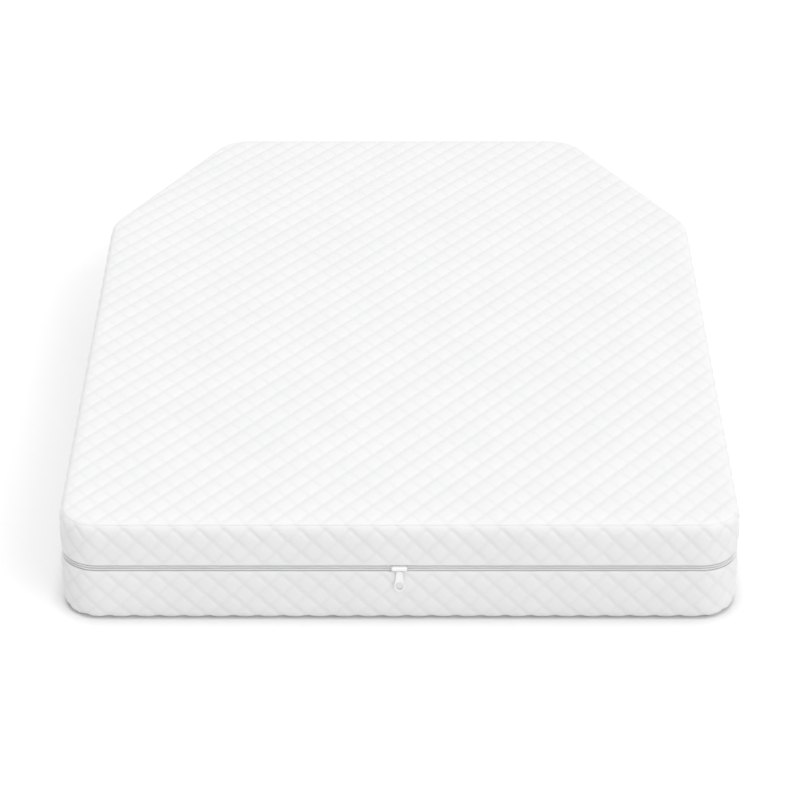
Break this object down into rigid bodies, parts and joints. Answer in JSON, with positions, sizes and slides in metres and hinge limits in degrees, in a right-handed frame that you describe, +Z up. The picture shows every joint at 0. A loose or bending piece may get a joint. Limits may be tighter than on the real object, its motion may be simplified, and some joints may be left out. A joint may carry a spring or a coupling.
{
  "type": "memory foam mattress",
  "caption": "Memory foam mattress with two long cut corners, in a diamond-quilted zip-off cover with a sliding zip slider and a hinged ring pull.",
  "frame": {"origin": "middle of the underside, on the surface the mattress lies on", "axes": "+Z up through the thickness; +Y along the length, from the end with the zip's slider to the end with the cut corners; +X across the width"},
  "size_m": [1.524, 1.9087, 0.258],
  "materials": {
    "cover_knit": "matte",
    "base_cloth": "matte",
    "quilt_filling": "matte",
    "quilt_backing": "matte",
    "zip_tape": "matte",
    "zip_teeth": "satin",
    "slider_lacquer": "satin",
    "sock_knit": "matte",
    "memory_foam": "matte",
    "transition_foam": "matte",
    "support_foam": "matte"
  },
  "bodies": {
    "mattress": {"cover_top_panel": "cover_knit", "cover_upper_band": "cover_knit", "cover_lower_band": "cover_knit", "cover_bottom_panel": "base_cloth", "top_quilt_filling": "quilt_filling", "upper_band_filling": "quilt_filling", "lower_band_filling": "quilt_filling", "top_quilt_backing": "quilt_backing", "upper_band_backing": "quilt_backing", "lower_band_backing": "quilt_backing", "zip_upper_tape": "zip_tape", "zip_lower_tape": "zip_tape", "zip_upper_teeth": "zip_teeth", "zip_lower_teeth": "zip_teeth", "fire_barrier_sock": "sock_knit", "memory_foam_layer": "memory_foam", "transition_foam_layer": "transition_foam", "support_foam_core": "support_foam"},
    "zip_slider": {"zip_slider_body": "slider_lacquer", "zip_slider_cap": "slider_lacquer"},
    "zip_pull": {"zip_pull_tab": "slider_lacquer"}
  },
  "joints": [
    {"name": "zip_slide", "type": "slide", "parent": "mattress", "child": "zip_slider", "axis": [1, 0, 0], "range_m": [0, 0.64]},
    {"name": "pull_swing", "type": "hinge", "parent": "zip_slider", "child": "zip_pull", "pos_m": [0, -0.9537, 0.138], "axis": [-1, 0, 0], "range_deg": [0, 100]}
  ]
}
